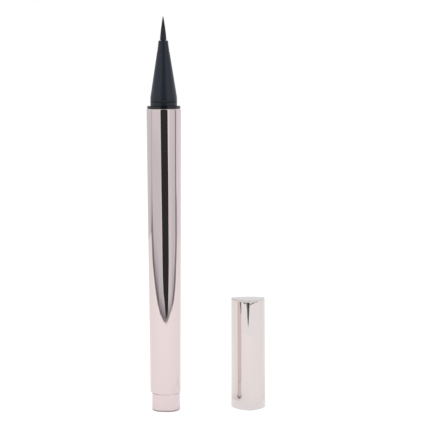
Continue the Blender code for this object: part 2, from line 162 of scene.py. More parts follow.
@dataclass(frozen=True)
class MetallisedPlastic(Finish):
    """ABS with a vacuum-deposited metal film under a tinted lacquer.

    It gives the eye an almost perfect mirror, with the lacquer's pale pink in
    everything it shows and the faint flow lines of the moulding beneath.
    """

    film: str = "E8DAD9"
    film_deep: str = "E4D3D3"
    polish: float = 0.035
    cloud_mm: float = 9.0
    flow_mm: float = 1.4

    def shade(self, tree: bpy.types.NodeTree) -> bpy.types.Node:
        """Builds the mirror film with its lacquer.

        Args:
            tree: The material's empty node tree.

        Returns:
            The surface shader.
        """
        place = add_node(tree, "TexCoord")
        stretch = add_node(tree, "Mapping", {"Scale": (1.0, 1.0, 0.12)},
                           {"Vector": place.outputs["Object"]})
        # The lacquer's thickness drifts over about 9 mm.
        cloud = add_node(tree, "TexNoise", {"Scale": 1.0 / (self.cloud_mm * MM), "Detail": 2.0,
                                            "Roughness": 0.5}, {"Vector": stretch.outputs[0]})
        tint = add_node(tree, "Mix", {"data_type": "RGBA", 6: linear(self.film),
                                      7: linear(self.film_deep)},
                        {0: cloud.outputs["Fac"]})
        # Flow lines of the moulding run along the part, 1.4 mm apart.
        flow = add_node(tree, "TexNoise", {"Scale": 1.0 / (self.flow_mm * MM), "Detail": 1.0},
                        {"Vector": stretch.outputs[0]})
        ripple = add_node(tree, "Bump", {"Strength": 0.02, "Distance": 0.00002},
                          {"Height": flow.outputs["Fac"]})
        gloss = add_node(tree, "MapRange", {"To Min": self.polish * 0.7,
                                            "To Max": self.polish * 1.4},
                         {"Value": cloud.outputs["Fac"]})
        return add_node(tree, "BsdfPrincipled", {"Metallic": 1.0},
                        {"Base Color": tint.outputs[2], "Roughness": gloss.outputs[0],
                         "Normal": ripple.outputs[0]})


@dataclass(frozen=True)
class MouldedPlastic(Finish):
    """A coloured plastic, injection moulded, from polished to satin.

    It gives the eye a dark or milky body with a soft gloss, finely broken by
    the spark-eroded grain of the mould.
    """

    body: str = "101013"
    body_worn: str = "18181C"
    gloss: float = 0.3
    grain_mm: float = 0.12
    grain_depth_mm: float = 0.004
    ior: float = 1.49
    sheen_level: float = 0.5
    glow: float = 0.0

    def shade(self, tree: bpy.types.NodeTree) -> bpy.types.Node:
        """Builds the moulded surface.

        Args:
            tree: The material's empty node tree.

        Returns:
            The surface shader.
        """
        place = add_node(tree, "TexCoord")
        # Mould grain is about 0.03 mm; it is drawn at 0.12 mm so that it shows.
        grain = add_node(tree, "TexNoise", {"Scale": 1.0 / (self.grain_mm * MM), "Detail": 3.0,
                                            "Roughness": 0.6}, {"Vector": place.outputs["Object"]})
        # Handling leaves patches a few millimetres across.
        wear = add_node(tree, "TexNoise", {"Scale": 1.0 / (4.0 * MM), "Detail": 2.0},
                        {"Vector": place.outputs["Object"]})
        body = add_node(tree, "Mix", {"data_type": "RGBA", 6: linear(self.body),
                                      7: linear(self.body_worn)}, {0: wear.outputs["Fac"]})
        rough = add_node(tree, "MapRange", {"To Min": self.gloss * 0.82,
                                            "To Max": self.gloss * 1.18},
                         {"Value": grain.outputs["Fac"]})
        bump = add_node(tree, "Bump", {"Strength": 0.35, "Distance": self.grain_depth_mm * MM},
                        {"Height": grain.outputs["Fac"]})
        settings = {"IOR": self.ior, "Specular IOR Level": self.sheen_level}
        if self.glow:
            settings.update({"Subsurface Weight": self.glow, "Subsurface Scale": 0.0008,
                             "Subsurface Radius": (1.0, 0.95, 0.85)})
        return add_node(tree, "BsdfPrincipled", settings,
                        {"Base Color": body.outputs[2], "Roughness": rough.outputs[0],
                         "Normal": bump.outputs[0]})


@dataclass(frozen=True)
class BondedFibre(Finish):
    """Polyester or acrylic fibre, bonded and ground to shape, soaked in ink.

    It gives the eye a deep blue-black with hair-fine lines along the nib,
    damp enough to catch a little light.
    """

    ink: str = "14161B"
    fibre: str = "262A31"
    fibre_mm: float = 0.16

    def shade(self, tree: bpy.types.NodeTree) -> bpy.types.Node:
        """Builds the fibre bundle.

        Args:
            tree: The material's empty node tree.

        Returns:
            The surface shader.
        """
        place = add_node(tree, "TexCoord")
        # Fibres are about 0.02 mm thick; the bundle's lines are drawn 0.16 mm apart.
        along = add_node(tree, "Mapping", {"Scale": (1.0, 1.0, 0.04)},
                         {"Vector": place.outputs["Object"]})
        lines = add_node(tree, "TexNoise", {"Scale": 1.0 / (self.fibre_mm * MM), "Detail": 2.0,
                                            "Roughness": 0.7}, {"Vector": along.outputs[0]})
        tone = add_node(tree, "ValToRGB", links={"Fac": lines.outputs["Fac"]})
        tone.color_ramp.elements[0].position = 0.38
        tone.color_ramp.elements[0].color = linear(self.ink)
        tone.color_ramp.elements[1].position = 0.66
        tone.color_ramp.elements[1].color = linear(self.fibre)
        damp = add_node(tree, "MapRange", {"To Min": 0.42, "To Max": 0.7},
                        {"Value": lines.outputs["Fac"]})
        bump = add_node(tree, "Bump", {"Strength": 0.5, "Distance": 0.00002},
                        {"Height": lines.outputs["Fac"]})
        return add_node(tree, "BsdfPrincipled", {"IOR": 1.45},
                        {"Base Color": tone.outputs[0], "Roughness": damp.outputs[0],
                         "Normal": bump.outputs[0]})


@dataclass(frozen=True)
class BlackRubber(Finish):
    """Nitrile rubber, compression moulded.

    It gives the eye a dry soft black, a little greyer where talc stays in the
    skin.
    """

    body: str = "16171A"
    bloom: str = "25272B"

    def shade(self, tree: bpy.types.NodeTree) -> bpy.types.Node:
        """Builds the rubber skin.

        Args:
            tree: The material's empty node tree.

        Returns:
            The surface shader.
        """
        place = add_node(tree, "TexCoord")
        # Talc stays in patches about 0.5 mm across.
        talc = add_node(tree, "TexNoise", {"Scale": 1.0 / (0.5 * MM), "Detail": 4.0},
                        {"Vector": place.outputs["Object"]})
        body = add_node(tree, "Mix", {"data_type": "RGBA", 6: linear(self.body),
                                      7: linear(self.bloom)}, {0: talc.outputs["Fac"]})
        bump = add_node(tree, "Bump", {"Strength": 0.3, "Distance": 0.00001},
                        {"Height": talc.outputs["Fac"]})
        return add_node(tree, "BsdfPrincipled", {"Roughness": 0.55, "IOR": 1.52},
                        {"Base Color": body.outputs[2], "Normal": bump.outputs[0]})


@dataclass(frozen=True)
class SpringSteel(Finish):
    """Stainless steel, drawn or ground and passivated.

    It gives the eye a bright neutral metal with fine lines left by the
    drawing die or the grinding stone.
    """

    metal: str = "C9C8C5"
    line_mm: float = 0.05

    def shade(self, tree: bpy.types.NodeTree) -> bpy.types.Node:
        """Builds the drawn metal.

        Args:
            tree: The material's empty node tree.

        Returns:
            The surface shader.
        """
        place = add_node(tree, "TexCoord")
        # Drawing lines, 0.05 mm apart.
        lines = add_node(tree, "TexNoise", {"Scale": 1.0 / (self.line_mm * MM), "Detail": 2.0},
                         {"Vector": place.outputs["Object"]})
        rough = add_node(tree, "MapRange", {"To Min": 0.16, "To Max": 0.3},
                         {"Value": lines.outputs["Fac"]})
        bump = add_node(tree, "Bump", {"Strength": 0.1, "Distance": 0.000005},
                        {"Height": lines.outputs["Fac"]})
        return add_node(tree, "BsdfPrincipled", {"Metallic": 1.0, "Base Color": linear(self.metal)},
                        {"Roughness": rough.outputs[0], "Normal": bump.outputs[0]})


PINK_FILM = MetallisedPlastic("Metallised ABS under pink lacquer", Slot.PINK)
PINK_CAP_FILM = MetallisedPlastic("Metallised ABS under pink lacquer, cap batch", Slot.PINK,
                                  film="E6DDDA", film_deep="E1D7D4")
BLACK_GLOSS = MouldedPlastic("Black ABS, polished mould", Slot.BLACK, body="0B0A0C",
                             body_worn="141315", gloss=0.16, grain_depth_mm=0.001, ior=1.52)
SLATE_SATIN = MouldedPlastic("Slate black polypropylene, satin mould", Slot.SLATE, body="1A212B",
                             body_worn="20262F", gloss=0.34, sheen_level=0.42)
INK_FELT = BondedFibre("Bonded polyester felt, ink-soaked", Slot.FIBRE)
RUBBER = BlackRubber("Black nitrile rubber, moulded", Slot.RUBBER)
MILKY = MouldedPlastic("Natural polypropylene, moulded", Slot.NATURAL, body="E6E5DF",
                       body_worn="DBDAD2", gloss=0.38, grain_depth_mm=0.002, glow=0.35)
STEEL = SpringSteel("Stainless spring steel, drawn", Slot.STEEL)


# ----------------------------------------------------------------- pieces

def to_object(mesh: bmesh.types.BMesh, name: str, finish: Finish, body: str,
              nodes: Sequence[str], sharp_deg: float = 32.0) -> bpy.types.Object:
    """Makes a finished piece of a mesh that is in millimetres.

    Args:
        mesh: The piece's mesh, in place; it is freed.
        name: The piece's name.
        finish: The material it is made of.
        body: The CAD body it rides on.
        nodes: The CAD nodes it stands for.
        sharp_deg: Edges that turn more than this stay sharp.

    Returns:
        The new object, riding on its body.
    """
    bmesh.ops.remove_doubles(mesh, verts=mesh.verts[:], dist=1e-5)
    bmesh.ops.recalc_face_normals(mesh, faces=mesh.faces[:])
    bmesh.ops.scale(mesh, vec=(MM, MM, MM), verts=mesh.verts[:])
    for face in mesh.faces:
        face.smooth = True
    for edge in mesh.edges:
        if len(edge.link_faces) == 2:
            edge.smooth = edge.calc_face_angle(0.0) < math.radians(sharp_deg)
    data = bpy.data.meshes.new(name)
    mesh.to_mesh(data)
    mesh.free()
    data.materials.append(finish.material())
    piece = bpy.data.objects.new(name, data)
    bpy.context.scene.collection.objects.link(piece)
    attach(piece, body)
    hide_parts(*nodes)
    LOG.info("%s: %d faces, rides on %s, stands for %s", name, len(data.polygons), body,
             ", ".join(nodes))
    return piece


@dataclass(frozen=True)
class Corner:
    """A point of a turned profile, with the size of its rounding."""

    r: float
    z: float
    round: float = 0.0
    steps: int = 5


def hold_flats(mesh: bmesh.types.BMesh) -> None:
    """Puts a point close to each end of a profile's long straight lines.

    Args:
        mesh: The profile as bare edges, in millimetres.
    """
    for edge in [e for e in mesh.edges if e.calc_length() > 10.0 * HOLD]:
        far = edge.verts[1]
        first, _ = bmesh.utils.edge_split(edge, edge.verts[0], HOLD / edge.calc_length())
        rest = next(e for e in far.link_edges if e in (edge, first))
        bmesh.utils.edge_split(rest, far, HOLD / rest.calc_length())


def turn(profile: Sequence[Corner], closed: bool = True, centre: tuple[float, float] = (0.0, 0.0),
         steps: int = TURNED_STEPS) -> bmesh.types.BMesh:
    """Turns a profile round an upright axis.

    Args:
        profile: The profile's corners in order.
        closed: True for a ring, false for a profile that ends on the axis.
        centre: Where the axis stands in X and Y.
        steps: How many steps go round.

    Returns:
        The turned mesh, in millimetres.
    """
    mesh = bmesh.new()
    verts = [mesh.verts.new((c.r, 0.0, c.z)) for c in profile]
    for a, b in zip(verts, verts[1:] + (verts[:1] if closed else [])):
        mesh.edges.new((a, b))
    for vert, corner in zip(verts, profile):
        if corner.round > 0.0:
            bmesh.ops.bevel(mesh, geom=[vert], affect="VERTICES", offset=corner.round,
                            offset_type="OFFSET", segments=corner.steps, profile=0.5, material=-1)
    hold_flats(mesh)
    bmesh.ops.spin(mesh, geom=mesh.verts[:] + mesh.edges[:], axis=(0, 0, 1), cent=(0, 0, 0),
                   angle=2.0 * math.pi, steps=steps, use_merge=True)
    bmesh.ops.remove_doubles(mesh, verts=mesh.verts[:], dist=1e-5)
    bmesh.ops.translate(mesh, vec=(centre[0], centre[1], 0.0), verts=mesh.verts[:])
    return mesh


@dataclass(frozen=True)
class SoftTriangle:
    """A rounded triangle of constant width, as a cross-section."""

    corner_deg: float

    def point(self, width: float, corner: float, normal: float) -> tuple[float, float]:
        """Finds the outline's point that faces a given way.

        Args:
            width: The section's constant width.
            corner: The radius of its three corners.
            normal: The way that the outline faces there, in radians from +X.

        Returns:
            The point's X and Y about the section's centre.
        """
        third = 2.0 * math.pi / 3.0
        turned = math.radians(self.corner_deg)
        reach = (width - 2.0 * corner) / math.sqrt(3.0)
        lean = (normal - turned + third / 2.0) % third - third / 2.0
        vertex = normal - lean
        radius = corner
        if abs(lean) > third / 4.0:
            vertex -= math.copysign(third, lean)
            radius = width - corner
        return (reach * math.cos(vertex) + radius * math.cos(normal),
                reach * math.sin(vertex) + radius * math.sin(normal))


@dataclass(frozen=True)
class Hoop:
    """One ring of a lofted wall: its height, width, corner radius and inset."""

    z: float
    width: float
    corner: float
    inset: float = 0.0


def loft(hoops: Sequence[Hoop], section: SoftTriangle, centre: tuple[float, float],
         close_last: bool = False, join_ends: bool = False) -> bmesh.types.BMesh:
    """Bridges a stack of rings into a wall.

    Args:
        hoops: The rings in order; one whose corner is half its width is round.
        section: The soft triangle that the rings follow.
        centre: The stack's axis in X and Y.
        close_last: True to cap the last ring.
        join_ends: True to bridge the last ring to the first.

    Returns:
        The wall's mesh, in millimetres.
    """
    mesh = bmesh.new()
    rings = []
    for hoop in hoops:
        made = bmesh.ops.create_circle(mesh, cap_ends=False, radius=1.0, segments=OUTLINE_POINTS)
        for vert in made["verts"]:
            normal = math.atan2(vert.co.y, vert.co.x)
            x, y = section.point(hoop.width, hoop.corner, normal)
            vert.co = Vector((centre[0] + x - hoop.inset * math.cos(normal),
                              centre[1] + y - hoop.inset * math.sin(normal), hoop.z))
        rings.append(list({e for vert in made["verts"] for e in vert.link_edges}))
    pairs = list(zip(rings, rings[1:])) + ([(rings[-1], rings[0])] if join_ends else [])
    for lower, upper in pairs:
        bmesh.ops.bridge_loops(mesh, edges=lower + upper)
    if close_last:
        bmesh.ops.contextual_create(mesh, geom=rings[-1])
    return mesh


def quarter(steps: int, size: float) -> list[tuple[float, float]]:
    """Lists the points of a rounded edge.

    Args:
        steps: How many steps the rounding has.
        size: The rounding's radius.

    Returns:
        Pairs of the inset from the wall and the drop from the end, from the
        wall to the end.
    """
    return [(size * (1.0 - math.cos(math.radians(90.0 * i / steps))),
             size * (1.0 - math.sin(math.radians(90.0 * i / steps)))) for i in range(steps + 1)]


@dataclass
class Barrel:
    """The pink barrel with the plug that closes its tail, and the collar ring."""

    tail_z: float = 5.95
    front_z: float = 100.73
    tail_width: float = 10.2
    front_width: float = 11.4
    tail_corner: float = 2.8
    bore_radius: float = 4.0
    front_round: float = 0.4
    tail_round: float = 0.15
    lead_in: float = 0.1
    levels: int = 48
    # The corners' azimuth, which the shape of the reflections gives.
    section: SoftTriangle = field(default_factory=lambda: SoftTriangle(-82.0))
    plug_radius: float = 4.65
    plug_height: float = 5.9
    plug_foot_round: float = 0.6
    plug_floor: float = 1.2
    plug_bore_radius: float = 2.85
    spigot_radius: float = 3.75
    spigot_end_z: float = 9.3
    collar_radius: float = 5.5
    collar_foot_z: float = 100.75
    collar_top_z: float = 101.55
    collar_round: float = 0.08

    def hoop(self, z: float, inset: float = 0.0) -> Hoop:
        """Gives the outer wall's ring at a height.

        Args:
            z: The ring's height.
            inset: How far it is drawn in from the wall.

        Returns:
            The ring, blended from the soft tail to the round front.
        """
        share = min(max((self.front_z - z) / (self.front_z - self.tail_z), 0.0), 1.0)
        width = self.front_width + (self.tail_width - self.front_width) * share
        corner = width / 2.0 * (1.0 - share) + self.tail_corner * share
        return Hoop(z, width, corner, inset)

    def shell(self) -> None:
        """Lofts the barrel, with its rounded rims and its bore."""
        hoops = [self.hoop(self.tail_z + drop, inset)
                 for inset, drop in reversed(quarter(4, self.tail_round))]
        hoops.append(self.hoop(self.tail_z + self.tail_round + HOLD))
        hoops += [self.hoop(self.tail_z + (self.front_z - self.tail_z) * i / self.levels)
                  for i in range(1, self.levels)]
        hoops.append(self.hoop(self.front_z - self.front_round - HOLD))
        hoops += [self.hoop(self.front_z - drop, inset)
                  for inset, drop in quarter(6, self.front_round)]
        bore, mouth = 2.0 * self.bore_radius, 2.0 * (self.bore_radius + self.lead_in)
        hoops += [Hoop(z, width, width / 2.0) for z, width in (
            (self.front_z, mouth), (self.front_z - self.lead_in, bore),
            (self.tail_z + self.lead_in, bore), (self.tail_z, mouth))]
        mesh = loft(hoops, self.section, (0.0, 0.0), join_ends=True)
        to_object(mesh, "BarrelShell", PINK_FILM, "pen", ["barrel_shell"])

    def plug(self) -> None:
        """Turns the tail plug, hollow from inside."""
        mesh = turn([Corner(0.0, 0.0), Corner(self.plug_radius, 0.0, self.plug_foot_round, 8),
                     Corner(self.plug_radius, self.plug_height, 0.12, 3),
                     Corner(self.spigot_radius, self.plug_height),
                     Corner(self.spigot_radius, self.spigot_end_z, 0.2),
                     Corner(self.plug_bore_radius, self.spigot_end_z, 0.1),
                     Corner(self.plug_bore_radius, self.plug_floor, 0.3),
                     Corner(0.0, self.plug_floor)], closed=False)
        to_object(mesh, "TailPlug", PINK_FILM, "pen", ["tail_plug"])

    def collar(self) -> None:
        """Turns the thin black ring that the cap's rim stops on."""
        mesh = turn([Corner(self.bore_radius, self.collar_foot_z),
                     Corner(self.collar_radius, self.collar_foot_z, self.collar_round, 3),
                     Corner(self.collar_radius, self.collar_top_z, self.collar_round, 3),
                     Corner(self.bore_radius, self.collar_top_z)])
        to_object(mesh, "CollarRing", BLACK_GLOSS, "pen", ["collar_ring"])

    def build(self) -> None:
        """Builds the barrel, its plug and its collar."""
        self.shell()
        self.plug()
        self.collar()


@dataclass
class Front:
    """The black front: neck and cone, grip ring, nib holder and felt nib."""

    spigot_z: float = 75.8
    spigot_radius: float = 3.75
    bore_radius: float = 3.15
    bore_narrows_z: float = 101.0
    neck_z: float = 101.57
    neck_radius: float = 4.4
    cone_z: float = 104.3
    cone_round: float = 0.4
    cone_front_z: float = 119.3
    cone_front_radius: float = 2.06
    front_bore_z: float = 113.0
    front_bore_radius: float = 1.6
    grip_z: float = 103.0
    grip_groove_radius: float = 3.695
    grip_groove_half: float = 0.31
    grip_section_radius: float = 0.3
    grip_radius: float = 4.145
    holder_tail_z: float = 114.45
    holder_spigot_radius: float = 1.45
    holder_bore_radius: float = 1.0
    # The holder's flank: height above its foot, then radius.
    holder_z: float = 119.31
    holder_flank: tuple[tuple[float, float], ...] = ((0.66, 1.935), (1.65, 1.79))
    holder_radius: float = 1.985
    holder_front_z: float = 123.0
    holder_front_radius: float = 1.55
    nib_tail_z: float = 112.45
    nib_shank_radius: float = 0.85
    nib_z: float = 123.15
    nib_radius: float = 1.09
    tip_z: float = 130.9
    # The nib's taper: share of its length, then share of its radius.
    nib_taper: tuple[tuple[float, float], ...] = (
        (0.0, 1.0), (0.06, 0.98), (0.18, 0.89), (0.33, 0.78), (0.5, 0.63), (0.67, 0.46),
        (0.83, 0.29), (0.95, 0.155), (0.985, 0.09))

    def cone(self) -> None:
        """Turns the neck and cone with the spigot that fills the barrel."""
        low, high = self.grip_z - self.grip_groove_half, self.grip_z + self.grip_groove_half
        mesh = turn([Corner(self.bore_radius, self.spigot_z),
                     Corner(self.spigot_radius, self.spigot_z, 0.2),
                     Corner(self.spigot_radius, self.neck_z),
                     Corner(self.neck_radius, self.neck_z, 0.06),
                     Corner(self.neck_radius, low), Corner(self.grip_groove_radius, low),
                     Corner(self.grip_groove_radius, high), Corner(self.neck_radius, high),
                     Corner(self.neck_radius, self.cone_z, self.cone_round, 6),
                     Corner(self.cone_front_radius, self.cone_front_z, 0.12, 4),
                     Corner(self.front_bore_radius, self.cone_front_z),
                     Corner(self.front_bore_radius, self.front_bore_z),
                     Corner(self.bore_radius, self.bore_narrows_z)])
        to_object(mesh, "FrontCone", SLATE_SATIN, "pen", ["front_cone"], sharp_deg=38.0)

    def grip(self) -> None:
        """Turns the ring that grips the cap."""
        mesh = bmesh.new()
        place = Matrix.Translation((self.grip_radius, 0.0, self.grip_z))
        bmesh.ops.create_circle(mesh, cap_ends=False, radius=self.grip_section_radius,
                                segments=20, matrix=place @ Matrix.Rotation(math.pi / 2.0, 4, "X"))
        bmesh.ops.spin(mesh, geom=mesh.verts[:] + mesh.edges[:], axis=(0, 0, 1), cent=(0, 0, 0),
                       angle=2.0 * math.pi, steps=TURNED_STEPS, use_merge=True)
        to_object(mesh, "CapGripRing", RUBBER, "pen", ["cap_grip_ring"])

    def holder(self) -> None:
        """Turns the small ferrule that holds the nib."""
        flank = [Corner(radius, self.holder_z + up) for up, radius in self.holder_flank]
        mesh = turn([Corner(self.holder_bore_radius, self.holder_tail_z),
                     Corner(self.holder_spigot_radius, self.holder_tail_z, 0.1),
                     Corner(self.holder_spigot_radius, self.holder_z),
                     Corner(self.holder_radius, self.holder_z, 0.06, 3), *flank,
                     Corner(self.holder_front_radius, self.holder_front_z, 0.2),
                     Corner(self.holder_bore_radius, self.holder_front_z)])
        to_object(mesh, "NibHolder", SLATE_SATIN, "pen", ["nib_holder"])

    def nib(self) -> None:
        """Turns the pointed felt nib with its shank."""
        length = self.tip_z - self.nib_z
        taper = [Corner(self.nib_radius * share, self.nib_z + length * up)
                 for up, share in self.nib_taper]
        mesh = turn([Corner(0.0, self.nib_tail_z),
                     Corner(self.nib_shank_radius, self.nib_tail_z, 0.1),
                     Corner(self.nib_shank_radius, self.nib_z), *taper, Corner(0.0, self.tip_z)],
                    closed=False, steps=64)
        to_object(mesh, "FeltNib", INK_FELT, "pen", ["felt_nib"])

    def build(self) -> None:
        """Builds the cone, the grip ring, the nib holder and the nib."""
        self.cone()
        self.grip()
        self.holder()
        self.nib()


@dataclass
class Cap:
    """The cap that stands beside the pen, with what shows in its mouth."""

    centre: tuple[float, float] = (27.75, 3.7)
    height: float = 36.9
    rim_width: float = 11.6
    top_width: float = 11.3
    corner: float = 1.9
    top_round: float = 0.4
    rim_round: float = 0.15
    bore_radius: float = 4.625
    bore_end: float = 36.0
    bore_end_radius: float = 0.3
    lead_in: float = 0.1
    levels: int = 16
    # Inside: the liner, the sprung cup, the ring that stops it, and its spring.
    liner_radius: float = 4.375
    liner_bore_radius: float = 3.825
    liner_foot: float = 7.6
    liner_ceiling: float = 35.25
    liner_top: float = 35.75
    cup_radius: float = 3.05
    cup_bore_radius: float = 2.55
    cup_foot: float = 13.8
    cup_ceiling: float = 30.0
    cup_top: float = 30.6
    cup_flange_radius: float = 3.575
    cup_flange_foot: float = 29.8
    retainer_radius: float = 3.675
    retainer_bore_radius: float = 3.2
    retainer_foot: float = 28.35
    retainer_top: float = 29.55
    coil_radius: float = 2.2
    wire_radius: float = 0.2
    spring_turns: int = 4
    spring_foot: float = 30.75
    spring_top: float = 34.05
    cup_travel: float = 1.5
    section: SoftTriangle = field(default_factory=lambda: SoftTriangle(-87.0))

    def hoop(self, z: float, inset: float = 0.0) -> Hoop:
        """Gives the outer wall's ring at a height.

        Args:
            z: The ring's height.
            inset: How far it is drawn in from the wall.

        Returns:
            The ring, a little narrower towards the top.
        """
        width = self.rim_width + (self.top_width - self.rim_width) * z / self.height
        return Hoop(z, width, self.corner, inset)

    def shell(self) -> bpy.types.Object:
        """Lofts the closed outside and the round bore inside.

        Returns:
            The cap's shell.
        """
        hoops = [Hoop(z, 2.0 * radius, radius) for z, radius in (
            (self.bore_end, self.bore_end_radius), (self.bore_end, self.bore_radius),
            (self.lead_in, self.bore_radius), (0.0, self.bore_radius + self.lead_in))]
        hoops += [self.hoop(drop, inset) for inset, drop in reversed(quarter(4, self.rim_round))]
        hoops.append(self.hoop(self.rim_round + HOLD))
        hoops += [self.hoop(self.height * i / self.levels) for i in range(1, self.levels)]
        hoops.append(self.hoop(self.height - self.top_round - HOLD))
        edge = quarter(6, self.top_round)
        hoops += [self.hoop(self.height - drop, inset) for inset, drop in edge]
        mesh = loft(hoops, self.section, self.centre, close_last=True)
        # The bore's end is closed by a face of its own.
        bmesh.ops.contextual_create(mesh, geom=[e for e in mesh.edges if e.is_boundary])
        return to_object(mesh, "CapShell", PINK_CAP_FILM, "cap", ["cap_shell"])

    def liner(self) -> bpy.types.Object:
        """Turns the plastic liner inside the cap.

        Returns:
            The liner.
        """
        mesh = turn([Corner(0.0, self.liner_top), Corner(self.liner_radius, self.liner_top, 0.2),
                     Corner(self.liner_radius, self.liner_foot, 0.1),
                     Corner(self.liner_bore_radius, self.liner_foot, 0.1),
                     Corner(self.liner_bore_radius, self.liner_ceiling),
                     Corner(0.0, self.liner_ceiling)], closed=False, centre=self.centre)
        return to_object(mesh, "CapLiner", MILKY, "cap", ["cap_liner"])

    def seal_cup(self) -> bpy.types.Object:
        """Turns the sprung cup that closes over the nib's cone.

        Returns:
            The cup.
        """
        mesh = turn([Corner(0.0, self.cup_top), Corner(self.cup_flange_radius, self.cup_top, 0.1),
                     Corner(self.cup_flange_radius, self.cup_flange_foot, 0.1),
                     Corner(self.cup_radius, self.cup_flange_foot),
                     Corner(self.cup_radius, self.cup_foot, 0.15),
                     Corner(self.cup_bore_radius, self.cup_foot, 0.15),
                     Corner(self.cup_bore_radius, self.cup_ceiling, 0.5),
                     Corner(0.0, self.cup_ceiling)], closed=False, centre=self.centre)
        return to_object(mesh, "SealCup", MILKY, "inner_cap", ["seal_cup"])

    def retainer(self) -> bpy.types.Object:
        """Turns the ring that stops the cup.

        Returns:
            The ring.
        """
        mesh = turn([Corner(self.retainer_bore_radius, self.retainer_foot, 0.15),
                     Corner(self.retainer_radius, self.retainer_foot, 0.1),
                     Corner(self.retainer_radius, self.retainer_top),
                     Corner(self.retainer_bore_radius, self.retainer_top)], centre=self.centre)
        return to_object(mesh, "CupRetainer", MILKY, "cap", ["cup_retainer"])

    def spring(self) -> bpy.types.Object:
        """Winds the cup's spring at one length; the real spring shortens as the cup is pressed.

        Returns:
            The spring.
        """
        mesh = bmesh.new()
        bmesh.ops.create_grid(mesh, x_segments=32 * self.spring_turns, y_segments=8, size=0.5)
        low, high = self.spring_foot + self.wire_radius, self.spring_top - self.wire_radius
        for vert in mesh.verts:
            along, across = vert.co.x + 0.5, math.tau * (vert.co.y + 0.5)
            angle = math.tau * self.spring_turns * along
            reach = self.coil_radius + self.wire_radius * math.cos(across)
            vert.co = (self.centre[0] + reach * math.cos(angle),
                       self.centre[1] + reach * math.sin(angle),
                       low + (high - low) * along + self.wire_radius * math.sin(across))
        bmesh.ops.remove_doubles(mesh, verts=mesh.verts[:], dist=1e-5)
        ends = [e for e in mesh.edges if e.is_boundary]
        bmesh.ops.holes_fill(mesh, edges=ends, sides=0)
        wire = to_object(mesh, "SealSpring", STEEL, "cap", ["seal_spring"])
        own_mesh(wire)
        return wire

    def build(self) -> None:
        """Builds the shell and the pieces that its mouth shows.

        The photographed barrel doesn't mirror the cap, so reflections leave the
        cap out.
        """
        for piece in (self.shell(), self.liner(), self.seal_cup(), self.retainer(),
                      self.spring()):
            piece.visible_glossy = False


@dataclass
class SealedInside:
    """The ink system and the spring's seat, which keep their CAD shape."""

    finishes: dict[str, Finish] = field(default_factory=lambda: {
        "ink_tank": MILKY, "tank_stopper": MILKY, "core_guide": MILKY, "collector": MILKY,
        "spring_seat": MILKY, "stopper_seal": RUBBER, "relay_core": INK_FELT,
        "mixing_ball": STEEL})

    def build(self) -> None:
        """Dresses each carried-over CAD node."""
        for node, finish in self.finishes.items():
            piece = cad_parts[node]
            if not piece.material_slots:
                piece.data.materials.append(finish.material())
            for place in piece.material_slots:
                place.material = finish.material()
            piece.visible_glossy = node != "spring_seat"
            LOG.info("%s: CAD shape, %s", node, finish.name)


# ------------------------------------------------------------------ studio

def between(rows: Sequence[Sequence[float]], at: float, column: int = 1) -> float:
    """Reads a table of rows sorted by their first value.

    Args:
        rows: The rows.
        at: Where to read, on the scale of the first column.
        column: The column to read.

    Returns:
        The value there, straight between the two nearest rows.
    """
    for low, high in zip(rows, rows[1:]):
        if at <= high[0]:
            share = max(0.0, (at - low[0]) / (high[0] - low[0]))
            return low[column] + (high[column] - low[column]) * share
    return rows[-1][column]


